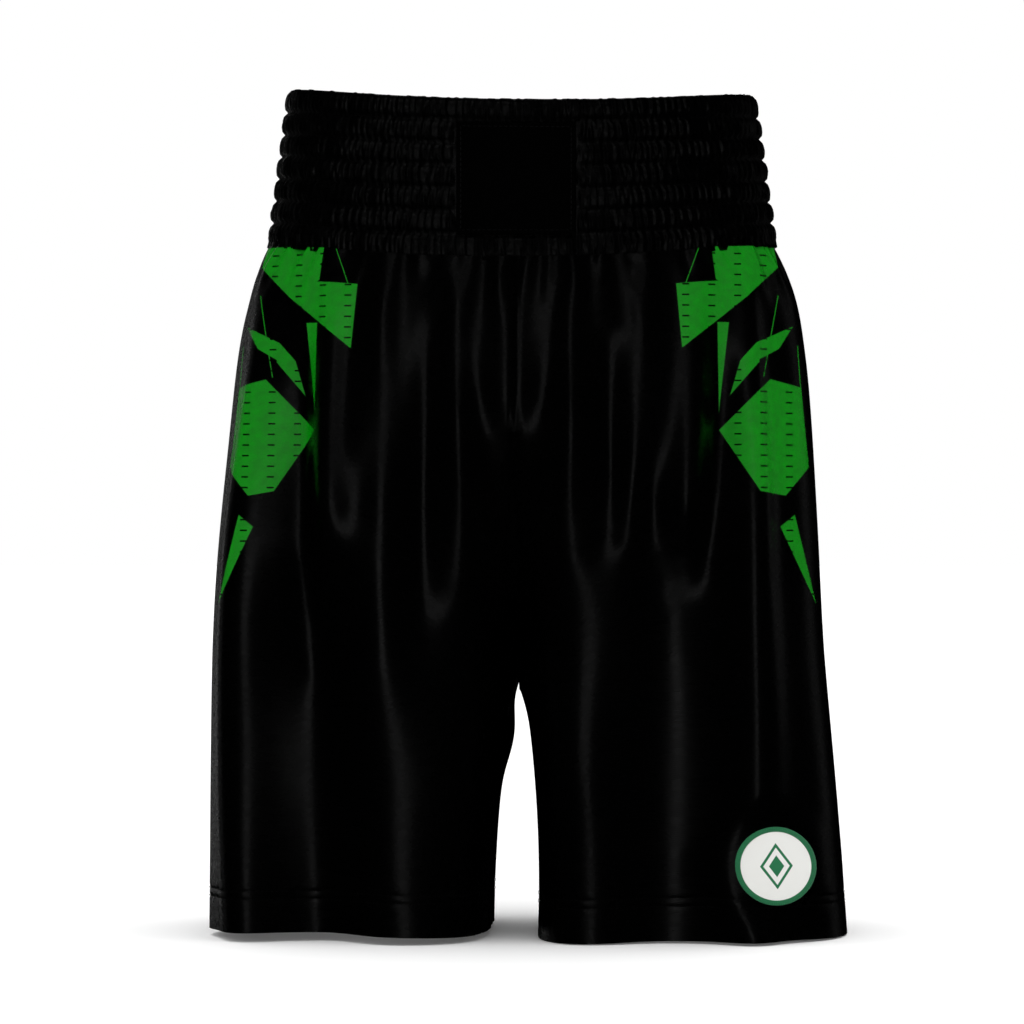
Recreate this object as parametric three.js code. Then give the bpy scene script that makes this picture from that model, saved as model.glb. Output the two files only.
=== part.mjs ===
// Boxing shorts: a tall ruched elastic waistband over four cut-and-sewn satin panels.
// Millimetres, +Z up, the front faces -Y, and +X is the wearer's left. The hems stand on Z 0.
import * as THREE from "three";

// Overall sizes.
const totalHeight = 562;
const bandHeight = 101;
const frontDip = 14;
const crotchHeight = 190;
const legGap = 36;

// Half widths and half depths, measured from the centre plane and from the plane of the side seams.
const bandTopHalfWidth = 154.5;
const bandSeamHalfWidth = 168;
const hipHalfWidth = 192;
const hemHalfWidth = 216;
const sideBow = 2;
const bandDepth = { front: 93, back: 101 };
const hipDepth = { front: 112, back: 130 };
const hemDepth = { front: 106, back: 114 };
const hipBelowBand = 75;
const riseBlend = 100;
const sectionPower = 2.3;

// Cloth, hems and clearances.
const clothThickness = 1.1;
const hemTurn = 29;
const clearance = 0.3;

// The waistband's sewn rows, and the elastic that runs through each of them.
const rowCount = 7;
const outerPuff = 4;
const facingPuff = 2.6;
const elasticWidth = 9.6;
const elasticThickness = 1.4;
const crownMargin = 0.3;
const bandSegments = 40;

// The smooth front panel that covers the middle rows, and its stiffener.
const panelWidth = 78;
const panelRows = { first: 1, last: 5 };
const panelThickness = 1.2;
const interfacingThickness = 0.8;
const interfacingMargin = 3;
const recessMargin = 3;
const recessRamp = 8;

// The blank care label inside the back, and the round patch on the left leg.
const careLabel = { width: 30, length: 46, thickness: 0.6, tuck: 6 };
const badge = { radius: 26, thickness: 0.8, height: 47, across: 47 };
const badgeRings = 4;
const badgeSegments = 28;

// Sampling of the cloth panels.
const panelColumns = 13;
const seatRows = 5;
const seatSpacing = 1.6;
const riseRows = 5;
const legRows = 5;

const bandSeamHeight = totalHeight - bandHeight;
const hipHeight = bandSeamHeight - hipBelowBand;
const rowHeight = bandHeight / rowCount;
const halfClearance = clearance / 2;

const mix = THREE.MathUtils.lerp;
const smooth = (value, low, high) => THREE.MathUtils.smoothstep(value, low, high);
const signedPower = (value, power) => Math.sign(value) * Math.abs(value) ** power;
const roundness = 2 / sectionPower;

// How far the cloth stands out at height z: straight from hem to hip, then drawn in to the waistband.
function outline(z, hem, hip, top, bow) {
  const along = z / hipHeight;
  const straight = mix(hem, hip, along) + bow * 4 * along * (1 - along);
  const drawnIn = Math.max(0, (z - hipHeight) / hipBelowBand) ** 3;
  const straightAtBand = mix(hem, hip, bandSeamHeight / hipHeight);
  return straight - (straightAtBand - top) * drawnIn;
}

const bandEdge = elasticThickness / 2;
const halfWidthAt = (z) => outline(z, hemHalfWidth, hipHalfWidth, bandSeamHalfWidth + bandEdge, sideBow);
const depthAt = (face, z) => outline(z, hemDepth[face], hipDepth[face], bandDepth[face] + bandEdge, 0);

// A point of a quarter of the shorts. across runs from the centre seam or inseam, 0, to the side seam, 1.
// Below the crotch a level section is half of a leg. Above it the leg's section reaches further in and stops
// at the centre plane, where the rise seam curves forward, until it has become a quarter of the whole body.
function clothPoint(face, side, across, z) {
  const halfWidth = halfWidthAt(z);
  const depth = depthAt(face, z);
  const up = THREE.MathUtils.clamp((z - crotchHeight) / riseBlend, 0, 1);
  const seamShare = Math.sqrt(1 - (1 - up) ** 2);
  const inner = (legGap / 2) * (1 - Math.min(1, z / crotchHeight) ** 2);
  const centreShare = (1 - seamShare ** sectionPower) ** (1 / sectionPower);
  const radius = z < crotchHeight ? (halfWidth - inner) / 2 : halfWidth / (1 + centreShare);
  const firstTurn = Math.acos(centreShare ** (sectionPower / 2));
  const turn = mix(firstTurn, Math.PI, across);
  const x = halfWidth - radius * (1 + signedPower(Math.cos(turn), roundness));
  const y = depth * signedPower(Math.sin(turn), roundness);
  const insideX = Math.max(halfClearance, x);
  const insideY = Math.max(halfClearance, y);
  return new THREE.Vector3(side * insideX, face === "front" ? -insideY : insideY, z);
}

// The direction out of the cloth, kept in the seam's own plane along each seam, so that neighbours clear.
function clothNormal(face, side, across, z) {
  const step = 0.004;
  const lift = 0.5;
  const low = Math.max(0, across - step);
  const high = Math.min(1, across + step);
  const along = clothPoint(face, side, high, z).sub(clothPoint(face, side, low, z));
  const upward = clothPoint(face, side, across, z + lift).sub(clothPoint(face, side, across, z - lift));
  const normal = along.cross(upward).multiplyScalar(face === "front" ? side : -side);
  const atCentre = across === 0;
  if (atCentre && z >= crotchHeight) normal.x = 0;
  if (across === 1 || (atCentre && z <= crotchHeight)) normal.y = 0;
  if (atCentre && z === crotchHeight) normal.z = -1;
  return normal.normalize();
}

// The waistband dips in the middle of the front.
const dipAt = (frontShare) => frontDip * Math.max(0, frontShare) ** 2;

function signedVolume(points, triangles) {
  let sum = 0;
  for (let i = 0; i < triangles.length; i += 3) {
    const [a, b, c] = [0, 1, 2].map((k) => points[triangles[i + k]]);
    sum += a.dot(new THREE.Vector3().crossVectors(b, c)) / 6;
  }
  return sum;
}

// A closed body from points and triangles, turned so that its faces point out.
function solidFrom(points, triangles) {
  const facingOut = signedVolume(points, triangles) > 0;
  const order = facingOut ? triangles : triangles.toReversed();
  const geometry = new THREE.BufferGeometry().setFromPoints(points);
  geometry.setIndex(order);
  geometry.computeVertexNormals();
  return geometry;
}

function addQuad(triangles, a, b, c, d) {
  triangles.push(a, b, c, a, c, d);
}

// A thin body between two grids of points of the same shape, closed along its four edges.
function shellBetween(outer, inner) {
  const rows = outer.length;
  const columns = outer[0].length;
  const points = [...outer.flat(), ...inner.flat()];
  const triangles = [];
  const at = (row, column, layer) => layer * rows * columns + row * columns + column;
  for (let row = 0; row < rows - 1; row++) {
    for (let column = 0; column < columns - 1; column++) {
      const corners = [[row, column], [row, column + 1], [row + 1, column + 1], [row + 1, column]];
      addQuad(triangles, ...corners.map(([r, c]) => at(r, c, 0)));
      addQuad(triangles, ...corners.reverse().map(([r, c]) => at(r, c, 1)));
    }
  }
  for (let row = 0; row < rows - 1; row++) {
    addQuad(triangles, at(row, 0, 1), at(row, 0, 0), at(row + 1, 0, 0), at(row + 1, 0, 1));
    const end = columns - 1;
    addQuad(triangles, at(row, end, 0), at(row, end, 1), at(row + 1, end, 1), at(row + 1, end, 0));
  }
  for (let column = 0; column < columns - 1; column++) {
    const next = column + 1;
    addQuad(triangles, at(0, next, 0), at(0, column, 0), at(0, column, 1), at(0, next, 1));
    const last = rows - 1;
    addQuad(triangles, at(last, column, 0), at(last, next, 0), at(last, next, 1), at(last, column, 1));
  }
  return solidFrom(points, triangles);
}

// The heights of a panel's rows at one place across it, from the waistband seam down to the hem.
function panelHeights(top) {
  const riseTop = crotchHeight + riseBlend;
  const heights = [];
  for (let i = 0; i < seatRows; i++) heights.push(mix(top, riseTop, (i / seatRows) ** seatSpacing));
  for (let i = 0; i < riseRows; i++) {
    const asBody = 1 - i / riseRows;
    heights.push(crotchHeight + riseBlend * (1 - Math.sqrt(1 - asBody ** 2)));
  }
  const hemFold = hemTurn + clothThickness;
  for (let i = 0; i < legRows; i++) heights.push(mix(crotchHeight, hemFold, i / legRows));
  heights.push(hemFold, hemTurn, 0);
  return heights;
}

// One cut panel of satin. The turned-up hem makes its foot two plies thick.
function clothPanel(face, side) {
  const columns = Array.from({ length: panelColumns }, (_, i) => i / (panelColumns - 1));
  const heights = columns.map((across) => {
    const frontShare = face === "front" ? Math.cos((across * Math.PI) / 2) : 0;
    return panelHeights(bandSeamHeight - dipAt(frontShare) - clearance);
  });
  const outer = heights[0].map((_, row) =>
    columns.map((across, column) => clothPoint(face, side, across, heights[column][row])),
  );
  const inner = outer.map((line, row) =>
    line.map((point, column) => {
      const z = heights[column][row];
      const plies = z <= hemTurn ? 2 : 1;
      const inward = clothNormal(face, side, columns[column], z).multiplyScalar(-plies * clothThickness);
      if (z <= hemTurn || row === 0) inward.z = 0;
      return point.clone().add(inward);
    }),
  );
  return shellBetween(outer, inner);
}

// A point of the waistband: its turn from the wearer's left, its share of the height down, and its offset.
function bandPoint(turn, down, offset) {
  const halfWidth = mix(bandTopHalfWidth, bandSeamHalfWidth, down) + offset;
  const face = Math.sin(turn) < 0 ? "front" : "back";
  const x = halfWidth * signedPower(Math.cos(turn), roundness);
  const y = (bandDepth[face] + offset) * signedPower(Math.sin(turn), roundness);
  const z = totalHeight - down * bandHeight - dipAt(-Math.sin(turn));
  return new THREE.Vector3(x, y, z);
}

// 1 behind the front panel, where the outer cloth lies flat, and 0 where it puffs out.
function recessAt(turn, down) {
  const x = Math.abs(bandPoint(turn, down, 0).x);
  const inFront = Math.sin(turn) < 0;
  const row = down * rowCount;
  const inRows = row > panelRows.first && row < panelRows.last + 1;
  const start = panelWidth / 2 + recessMargin;
  return inFront && inRows ? 1 - smooth(x, start, start + recessRamp) : 0;
}

// A closed ring from a closed profile of { down, offset } points, offset being a function of the turn.
function bandRing(profile) {
  const points = [];
  const triangles = [];
  const count = profile.length;
  for (let i = 0; i < bandSegments; i++) {
    const turn = (2 * Math.PI * (i + 0.5)) / bandSegments;
    for (const { down, offset } of profile) points.push(bandPoint(turn, down, offset(turn)));
  }
  for (let i = 0; i < bandSegments; i++) {
    const here = i * count;
    const next = ((i + 1) % bandSegments) * count;
    for (let j = 0; j < count; j++) {
      const k = (j + 1) % count;
      addQuad(triangles, here + j, here + k, next + k, next + j);
    }
  }
  return solidFrom(points, triangles);
}

// Where the puffed cloth turns, down the band: at the stitch lines, and just past each elastic's edges.
function puffStations() {
  const halfCrown = (elasticWidth / 2 + crownMargin) / bandHeight;
  const stations = [{ down: 0, share: 0 }];
  for (let row = 0; row < rowCount; row++) {
    const middle = (row + 0.5) / rowCount;
    stations.push({ down: middle - halfCrown, share: 1 });
    stations.push({ down: middle + halfCrown, share: 1 });
    stations.push({ down: (row + 1) / rowCount, share: 0 });
  }
  return stations;
}

// One of the two puffed cloth layers that hold the elastic between them, outwards 1 or -1.
function casing(outwards, puff) {
  const recessInside = elasticThickness / 2 + clearance;
  const near = ({ down, share }, extra) => ({
    down,
    offset: (turn) => {
      const recess = outwards > 0 ? recessAt(turn, down) : 0;
      return outwards * (mix(halfClearance + share * puff, recessInside, recess) + extra);
    },
  });
  const stations = puffStations();
  const inside = stations.map((station) => near(station, 0));
  const outside = stations.map((station) => near(station, clothThickness));
  return bandRing([...inside, ...outside.reverse()]);
}

function elasticBand(row) {
  const middle = (row + 0.5) / rowCount;
  const half = elasticWidth / 2 / bandHeight;
  const corners = [[-1, -1], [1, -1], [1, 1], [-1, 1]];
  return bandRing(
    corners.map(([sideways, downwards]) => ({
      down: middle + downwards * half,
      offset: () => (sideways * elasticThickness) / 2,
    })),
  );
}

// A round patch that follows the front of the left leg.
function patch() {
  const legRadius = (halfWidthAt(badge.height) - legGap / 2) / 2;
  const turned = Math.acos(-((badge.across / legRadius) ** (sectionPower / 2)));
  const centre = turned / Math.PI;
  const step = 0.01;
  const spread = clothPoint("front", 1, centre + step, badge.height);
  const widthPerAcross = spread.distanceTo(clothPoint("front", 1, centre - step, badge.height)) / (2 * step);
  const points = [];
  const triangles = [];
  const place = (radius, angle, lift) => {
    const across = centre + (radius * Math.cos(angle)) / widthPerAcross;
    const z = badge.height + radius * Math.sin(angle);
    const normal = clothNormal("front", 1, across, z);
    points.push(clothPoint("front", 1, across, z).addScaledVector(normal, lift));
  };
  const lifts = [clearance, clearance + badge.thickness];
  for (const lift of lifts) {
    place(0, 0, lift);
    for (let ring = 1; ring <= badgeRings; ring++) {
      for (let i = 0; i < badgeSegments; i++) {
        place((badge.radius * ring) / badgeRings, (2 * Math.PI * i) / badgeSegments, lift);
      }
    }
  }
  const layerSize = 1 + badgeRings * badgeSegments;
  const at = (layer, ring, i) => layer * layerSize + 1 + (ring - 1) * badgeSegments + (i % badgeSegments);
  for (let i = 0; i < badgeSegments; i++) {
    triangles.push(0, at(0, 1, i), at(0, 1, i + 1));
    triangles.push(layerSize, at(1, 1, i + 1), at(1, 1, i));
    for (let ring = 1; ring < badgeRings; ring++) {
      addQuad(triangles, at(0, ring, i), at(0, ring + 1, i), at(0, ring + 1, i + 1), at(0, ring, i + 1));
      addQuad(triangles, at(1, ring, i + 1), at(1, ring + 1, i + 1), at(1, ring + 1, i), at(1, ring, i));
    }
    const rim = badgeRings;
    addQuad(triangles, at(0, rim, i), at(1, rim, i), at(1, rim, i + 1), at(0, rim, i + 1));
  }
  return solidFrom(points, triangles);
}

const satin = { color: 0x060606, roughness: 0.42, metalness: 0 };
const finishes = {
  satin,
  facing: { color: 0x080808, roughness: 0.6, metalness: 0 },
  elastic: { color: 0x2a2a2a, roughness: 0.9, metalness: 0 },
  panel: { color: 0x050505, roughness: 0.7, metalness: 0 },
  interfacing: { color: 0xd8d6d0, roughness: 0.95, metalness: 0 },
  label: { color: 0xe8e8e6, roughness: 0.6, metalness: 0 },
  badge: { color: 0x0f4f2c, roughness: 0.55, metalness: 0 },
};

const shorts = new THREE.Group();

function addPiece(name, geometry, finish, place = [0, 0, 0]) {
  const mesh = new THREE.Mesh(geometry, new THREE.MeshStandardMaterial(finishes[finish]));
  mesh.name = name;
  mesh.position.set(...place);
  shorts.add(mesh);
}

for (const [sideName, side] of [["left", 1], ["right", -1]]) {
  for (const face of ["front", "back"]) {
    addPiece(`${face}_panel_${sideName}`, clothPanel(face, side), "satin");
  }
}

addPiece("waistband_outer", casing(1, outerPuff), "satin");
addPiece("waistband_facing", casing(-1, facingPuff), "facing");
for (let row = 0; row < rowCount; row++) {
  addPiece(`elastic_band_${row + 1}`, elasticBand(row), "elastic");
}

// The front panel stands flat and upright in front of the flattened rows, with its stiffener behind it.
const flatRows = panelRows.last + 1 - panelRows.first;
const panelLength = flatRows * rowHeight - 2 * clearance;
const panelMiddle = totalHeight - frontDip - (panelRows.first + flatRows / 2) * rowHeight;
const recessFace = bandDepth.front + elasticThickness / 2 + clearance + clothThickness;
const interfacingY = -(recessFace + clearance + interfacingThickness / 2);
const panelY = interfacingY - interfacingThickness / 2 - clearance - panelThickness / 2;
const interfacingSize = [
  panelWidth - 2 * interfacingMargin,
  interfacingThickness,
  panelLength - 2 * interfacingMargin,
];
addPiece("label_panel_interfacing", new THREE.BoxGeometry(...interfacingSize), "interfacing", [
  0,
  interfacingY,
  panelMiddle,
]);
const panelSize = [panelWidth, panelThickness, panelLength];
addPiece("front_label_panel", new THREE.BoxGeometry(...panelSize), "panel", [0, panelY, panelMiddle]);

const facingDepth = halfClearance + facingPuff + clothThickness;
const careLabelY = bandDepth.back - facingDepth - clearance - careLabel.thickness / 2;
const careLabelZ = bandSeamHeight + careLabel.tuck - careLabel.length / 2;
const careLabelSize = [careLabel.width, careLabel.thickness, careLabel.length];
addPiece("care_label", new THREE.BoxGeometry(...careLabelSize), "label", [0, careLabelY, careLabelZ]);

addPiece("badge_patch", patch(), "badge");

// The origin is the middle of the footprint of the whole object.
const extent = new THREE.Box3().setFromObject(shorts);
shorts.position.y = -(extent.min.y + extent.max.y) / 2;

export default shorts;
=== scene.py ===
import math
import bpy
import numpy as np
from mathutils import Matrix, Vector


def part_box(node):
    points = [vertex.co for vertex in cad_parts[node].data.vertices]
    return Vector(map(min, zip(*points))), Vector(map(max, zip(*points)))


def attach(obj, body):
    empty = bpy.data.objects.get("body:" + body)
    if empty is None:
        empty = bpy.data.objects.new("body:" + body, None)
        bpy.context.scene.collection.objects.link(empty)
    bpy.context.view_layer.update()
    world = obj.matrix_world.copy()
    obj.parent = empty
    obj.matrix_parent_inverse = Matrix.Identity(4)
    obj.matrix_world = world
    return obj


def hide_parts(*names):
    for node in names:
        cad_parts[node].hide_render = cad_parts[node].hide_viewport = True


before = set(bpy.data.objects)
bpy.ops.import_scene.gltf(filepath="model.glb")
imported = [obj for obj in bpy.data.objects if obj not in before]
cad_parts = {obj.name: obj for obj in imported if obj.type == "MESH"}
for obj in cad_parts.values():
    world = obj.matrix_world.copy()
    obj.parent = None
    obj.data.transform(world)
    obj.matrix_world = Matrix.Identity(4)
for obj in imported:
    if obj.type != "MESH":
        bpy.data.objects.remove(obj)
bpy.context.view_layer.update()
bpy.ops.object.select_all(action="DESELECT")
print("frame loaded")

# The pattern the shorts are cut to, in metres. The overall sizes come from the frame.
pattern = {
    "crotchHeight": 0.190, "riseBlend": 0.145, "legGap": 0.036, "hipBelowBand": 0.075,
    "hipHalfWidth": 0.192, "hipDepth": {"front": 0.112, "back": 0.130},
    "hemDepth": {"front": 0.106, "back": 0.114}, "bandDepth": {"front": 0.093, "back": 0.101},
    "bandTopHalfWidth": 0.1545, "bandSeamHalfWidth": 0.168, "sideBow": 0.002, "sectionPower": 2.3,
    "inseamPower": 3.4, "outseamPower": 3.2, "easeWidth": (0.115, 3.0), "easeDepth": (0.140, 1.7),
    "frontDip": 0.014, "seamGap": 0.0003, "elasticThickness": 0.0014, "elasticWidth": 0.0096, "rowCount": 7,
}
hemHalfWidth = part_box("front_panel_left")[1].x
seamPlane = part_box("front_panel_left")[1].y + pattern["seamGap"] / 2
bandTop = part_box("waistband_outer")[1].z
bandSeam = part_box("back_panel_left")[1].z + pattern["seamGap"]
bandHeight = bandTop - bandSeam
hipHeight = bandSeam - pattern["hipBelowBand"]
roundness = 2 / pattern["sectionPower"]

view = {"distance": 3.0, "height": 0.2815, "turn": 2.4, "aside": -0.007, "lens": 156.2}


def makeCamera():
    turn = math.radians(view["turn"])
    aside, back = view["aside"], view["distance"]
    place = (aside * math.cos(turn) + back * math.sin(turn), aside * math.sin(turn) - back * math.cos(turn))
    bpy.ops.object.camera_add(location=(*place, view["height"]), rotation=(math.pi / 2, 0, turn))
    camera = bpy.context.object
    camera.data.lens = view["lens"]
    camera.data.sensor_width = 36
    camera.data.clip_end = 60
    bpy.context.scene.camera = camera
    bpy.context.scene.view_settings.view_transform = "Standard"


def aimAt(place, target):
    away = np.array(place) - np.array(target)
    return (math.atan2(math.hypot(away[0], away[1]), away[2]), 0, math.atan2(away[0], -away[1]))


lamps = {
    "frontStrip": {"place": (-0.05, -3.3, 0.50), "size": (0.22, 2.2), "power": 1.75},
    "overhead": {"place": (-0.05, -2.3, 3.0), "size": (0.22, 1.6), "power": 1.4},
    "leftStrip": {"place": (-2.6, 1.7, 0.7), "size": (0.6, 2.4), "power": 0.4},
    "rightStrip": {"place": (2.6, 1.8, 0.7), "size": (0.6, 2.4), "power": 0.4},
    "backStrip": {"place": (-1.7, 2.9, 0.8), "size": (0.22, 2.2), "power": 1.0},
    "backOverhead": {"place": (0.1, 2.3, 3.0), "size": (0.22, 1.6), "power": 1.4},
}
skyLight = {"strength": 1.0, "sunPower": 1.25, "sunSpread": 60, "aim": (0, 0, 0.28)}


def makeLights():
    for name, lamp in lamps.items():
        turned = aimAt(lamp["place"], skyLight["aim"])
        bpy.ops.object.light_add(type="AREA", location=lamp["place"], rotation=turned)
        light = bpy.context.object
        light.name = name
        light.data.shape = "RECTANGLE"
        light.data.size, light.data.size_y = lamp["size"]
        light.data.energy = lamp["power"]
    bpy.ops.object.light_add(type="SUN", location=(0, 0, 3))
    bpy.context.object.visible_glossy = False
    bpy.context.object.data.energy = skyLight["sunPower"]
    bpy.context.object.data.angle = math.radians(skyLight["sunSpread"])
    world = bpy.data.worlds.new("studio")
    bpy.context.scene.world = world
    world.use_nodes = True
    world.node_tree.nodes["Background"].inputs["Color"].default_value = (1, 1, 1, 1)
    world.node_tree.nodes["Background"].inputs["Strength"].default_value = skyLight["strength"]
    world.cycles_visibility.glossy = False  # highlights come from the strips alone


floorPaint = {"size": 40, "color": (0.93, 0.93, 0.93, 1), "roughness": 0.9}


def makeFloor():
    bpy.ops.mesh.primitive_plane_add(size=floorPaint["size"], location=(0, 0, 0))
    floor = bpy.context.object
    floor.name = "floor"
    material = bpy.data.materials.new("paleFloor")
    material.use_nodes = True
    shader = material.node_tree.nodes["Principled BSDF"]
    shader.inputs["Base Color"].default_value = floorPaint["color"]
    shader.inputs["Roughness"].default_value = floorPaint["roughness"]
    shader.inputs["Specular IOR Level"].default_value = 0.0
    floor.data.materials.append(material)
    floor.visible_glossy = False
    floor.visible_shadow = False


makeCamera()
makeLights()
makeFloor()
print("camera, lights and floor made")


def smooth(value, low, high):
    t = np.clip((value - low) / (high - low), 0, 1)
    return t * t * (3 - 2 * t)


def mix(a, b, t):
    return a + (b - a) * t


def bump(distance, width):
    return np.exp(-0.5 * (distance / width) ** 2)


def signedPower(value, power):
    return np.sign(value) * np.abs(value) ** power


def wobble(along, count, seed):  # a smooth closed wave through seeded heights, along from 0 to 1
    knots = np.random.default_rng(seed).uniform(-1, 1, count)
    place = np.mod(along, 1.0) * count
    low = np.floor(place).astype(int)
    t = place - low
    t = t * t * (3 - 2 * t)
    return knots[low % count] * (1 - t) + knots[(low + 1) % count] * t


def select(piece):
    bpy.ops.object.select_all(action="DESELECT")
    piece.select_set(True)
    bpy.context.view_layer.objects.active = piece


def addGrid(name, columns, rows):
    bpy.ops.object.select_all(action="DESELECT")
    bpy.ops.mesh.primitive_grid_add(x_subdivisions=columns, y_subdivisions=rows, size=1)
    piece = bpy.context.object
    piece.name = piece.data.name = name
    flat = np.empty(len(piece.data.vertices) * 3)
    piece.data.vertices.foreach_get("co", flat)
    flat = flat.reshape(-1, 3)
    return piece, flat[:, 0] + 0.5, flat[:, 1] + 0.5


def placePoints(piece, x, y, z):
    piece.data.vertices.foreach_set("co", np.stack([x, y, z], 1).astype(np.float32).ravel())
    piece.data.update()


def setUv(piece, name, u, v):
    layer = piece.data.uv_layers.get(name) or piece.data.uv_layers.new(name=name)
    corners = np.empty(len(piece.data.loops), int)
    piece.data.loops.foreach_get("vertex_index", corners)
    layer.data.foreach_set("uv", np.stack([u[corners], v[corners]], 1).astype(np.float32).ravel())


def editAll(piece, action, **values):
    select(piece)
    bpy.ops.object.mode_set(mode="EDIT")
    bpy.ops.mesh.select_all(action="SELECT")
    action(**values)
    bpy.ops.object.mode_set(mode="OBJECT")


def turnOutwards(piece, axisX=0.0, bySide=1):  # faces of a sheet point away from an upright line
    normals = np.empty(len(piece.data.polygons) * 3)
    centres = np.empty(len(piece.data.polygons) * 3)
    piece.data.polygons.foreach_get("normal", normals)
    piece.data.polygons.foreach_get("center", centres)
    away = centres.reshape(-1, 3) - np.array([axisX, seamPlane, 0])
    if (normals.reshape(-1, 3)[:, :2] * away[:, :2]).sum() * bySide < 0:
        editAll(piece, bpy.ops.mesh.flip_normals)


def applyModifier(piece, kind, **values):
    select(piece)
    modifier = piece.modifiers.new(kind.lower(), kind)
    for key, value in values.items():
        setattr(modifier, key, value)
    bpy.ops.object.modifier_apply(modifier=modifier.name)


def meshArea(piece):
    area = np.empty(len(piece.data.polygons))
    piece.data.polygons.foreach_get("area", area)
    return area.sum()


def finishPiece(piece, material, nodes=()):
    piece.data.polygons.foreach_set("use_smooth", np.ones(len(piece.data.polygons), bool))
    piece.data.materials.clear()
    piece.data.materials.append(material)
    piece.data.update()
    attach(piece, "root")
    if nodes:
        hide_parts(*nodes)


def declareCloth(piece, flat, area=None):
    print(f"{piece.name}: {meshArea(piece) / 2:.4f} m2 of cloth, cut {area or flat[0] * flat[1]:.4f} m2")


def newMaterial(name, color, roughness, specular=0.5, sheen=0.0):
    material = bpy.data.materials.new(name)
    material.use_nodes = True
    shader = material.node_tree.nodes["Principled BSDF"]
    shader.inputs["Base Color"].default_value = (*color, 1)
    shader.inputs["Roughness"].default_value = roughness
    shader.inputs["Specular IOR Level"].default_value = specular
    shader.inputs["Sheen Weight"].default_value = sheen
    return material


class Wiring:  # short calls for joining a material's nodes
    def __init__(self, material):
        self.tree = material.node_tree
        self.shader = self.tree.nodes["Principled BSDF"]

    def put(self, target, value):
        if isinstance(value, bpy.types.NodeSocket):
            self.tree.links.new(value, target)
        else:
            target.default_value = value

    def math(self, operation, *values):
        node = self.tree.nodes.new("ShaderNodeMath")
        node.operation = operation
        for socket, value in zip(node.inputs, values):
            self.put(socket, value)
        return node.outputs[0]

    def dot(self, vector, direction):
        node = self.tree.nodes.new("ShaderNodeVectorMath")
        node.operation = "DOT_PRODUCT"
        self.put(node.inputs[0], vector)
        node.inputs[1].default_value = direction
        return node.outputs["Value"]

    def uv(self, name):
        node = self.tree.nodes.new("ShaderNodeUVMap")
        node.uv_map = name
        return node.outputs["UV"]

    def objectPlace(self):
        return self.tree.nodes.new("ShaderNodeTexCoord").outputs["Object"]

    def noise(self, vector, scale, detail=2.0):
        node = self.tree.nodes.new("ShaderNodeTexNoise")
        self.put(node.inputs["Vector"], vector)
        node.inputs["Scale"].default_value = scale
        node.inputs["Detail"].default_value = detail
        return node.outputs["Fac"]

    def blendColor(self, share, first, second):
        node = self.tree.nodes.new("ShaderNodeMix")
        node.data_type = "RGBA"
        self.put(node.inputs[0], share)
        self.put(node.inputs[6], first if isinstance(first, bpy.types.NodeSocket) else (*first, 1))
        self.put(node.inputs[7], second if isinstance(second, bpy.types.NodeSocket) else (*second, 1))
        return node.outputs[2]

    def range(self, value, low, high, toLow, toHigh):
        node = self.tree.nodes.new("ShaderNodeMapRange")
        for socket, number in zip(node.inputs, (value, low, high, toLow, toHigh)):
            self.put(socket, number)
        return node.outputs[0]

    def bump(self, height, distance, strength=1.0):
        node = self.tree.nodes.new("ShaderNodeBump")
        node.inputs["Distance"].default_value = distance
        node.inputs["Strength"].default_value = strength
        self.put(node.inputs["Height"], height)
        return node.outputs["Normal"]


# Angular flashes beside each side seam: corners as distance from the centre and height, in millimetres.
flashes = [
    [(169, 458), (127, 456), (130, 434), (151, 423), (172, 444)],
    [(151, 435), (104, 431), (108, 388), (151, 423)],
    [(182, 405), (157, 393), (153, 378), (172, 389)],
    [(157, 393), (146, 381), (139, 357), (159, 380)],
    [(139, 406), (131, 406), (132, 344)],
    [(187, 364), (166, 369), (132, 335), (159, 295), (176, 292), (192, 311)],
    [(182, 280), (172, 272), (197, 219)],
    [(119, 456), (120, 456), (111, 431), (110, 431)],
    [(171, 425), (172, 425), (162, 370), (161, 370)],
    [(184, 392), (185, 392), (189, 330), (188, 330)],
]
printing = {"green": (0.0, 0.190, 0.0020), "deepGreen": (0.0, 0.075, 0.0010), "deepShare": 0.25,
            "edge": 0.0004, "dashApart": (0.017, 0.007), "dashSize": (0.0046, 0.0010)}
satinFinish = {"black": (0.0003, 0.0003, 0.00034), "roughness": (0.25, 0.30), "twill": 0.0013,
               "twillDepth": 0.00006, "mottleScale": 160.0, "slubScale": 420.0}


def flashShare(wiring, place):
    shapes = []
    for corners in flashes:
        points = np.array(corners) / 1000
        nextPoints = np.roll(points, -1, axis=0)
        middle = points.mean(axis=0)
        sides = []
        for start, end in zip(points, nextPoints):
            across = np.array([start[1] - end[1], end[0] - start[0]]) / np.hypot(*(end - start))
            if np.dot(middle - start, across) < 0:
                across = -across
            reach = wiring.dot(place, (across[0], across[1], 0))
            sides.append(wiring.math("SUBTRACT", reach, float(np.dot(start, across))))
        inside = sides[0]
        for side in sides[1:]:
            inside = wiring.math("MINIMUM", inside, side)
        shapes.append(inside)
    nearest = shapes[0]
    for shape in shapes[1:]:
        nearest = wiring.math("MAXIMUM", nearest, shape)
    return wiring.range(nearest, 0.0, printing["edge"], 0.0, 1.0)


def dashShare(wiring, place):
    share = 1.0
    for axis, apart, size in zip(((1, 0, 0), (0, 1, 0)), printing["dashApart"], printing["dashSize"]):
        cell = wiring.math("FRACT", wiring.math("DIVIDE", wiring.dot(place, axis), apart))
        away = wiring.math("ABSOLUTE", wiring.math("SUBTRACT", cell, 0.5))
        share = wiring.math("MULTIPLY", share, wiring.math("LESS_THAN", away, size / apart / 2))
    return share


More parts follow.
